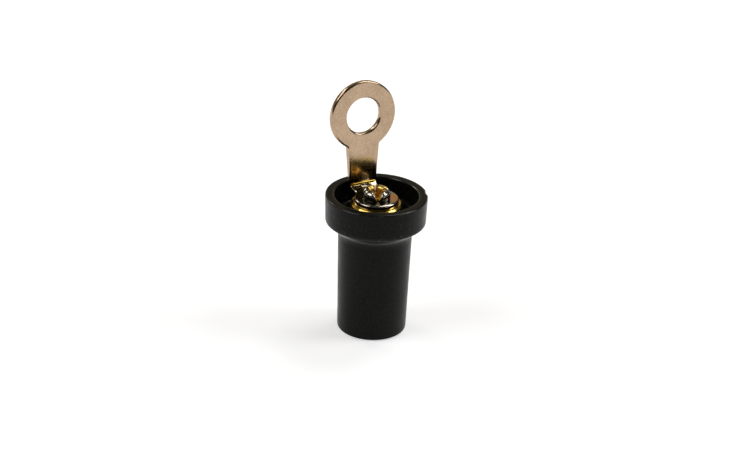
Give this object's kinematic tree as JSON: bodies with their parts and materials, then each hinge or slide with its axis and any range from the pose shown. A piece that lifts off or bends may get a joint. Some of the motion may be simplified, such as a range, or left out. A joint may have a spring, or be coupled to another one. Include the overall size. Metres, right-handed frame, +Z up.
{
  "type": "push-on ignition connector",
  "caption": "Push-on ignition lead connector: black moulded insulator with a cupped collar, brass stud socket inside and a riveted ring lug on top.",
  "frame": {"origin": "on the barrel's axis at its open lower end, on which the part stands", "axes": "+Z up along the barrel's axis; the lug's ring stands on the +Y side and its foot points along -Y"},
  "size_m": [0.0178, 0.0178, 0.0439],
  "materials": {
    "moulded_black": "black moulded insulating resin with a satin skin and fine pale specks",
    "socket_brass": "turned brass, lightly tarnished",
    "spring_steel": "drawn spring wire",
    "lug_nickel": "warm nickel plate on stamped sheet, satin with fine scratches",
    "rivet_nickel": "bright nickel plate, brass showing in the hollow end"
  },
  "bodies": {
    "root": {"insulator_body": "moulded_black", "contact_socket": "socket_brass", "spring_clip": "spring_steel", "ring_lug": "lug_nickel", "rivet": "rivet_nickel"}
  },
  "joints": []
}
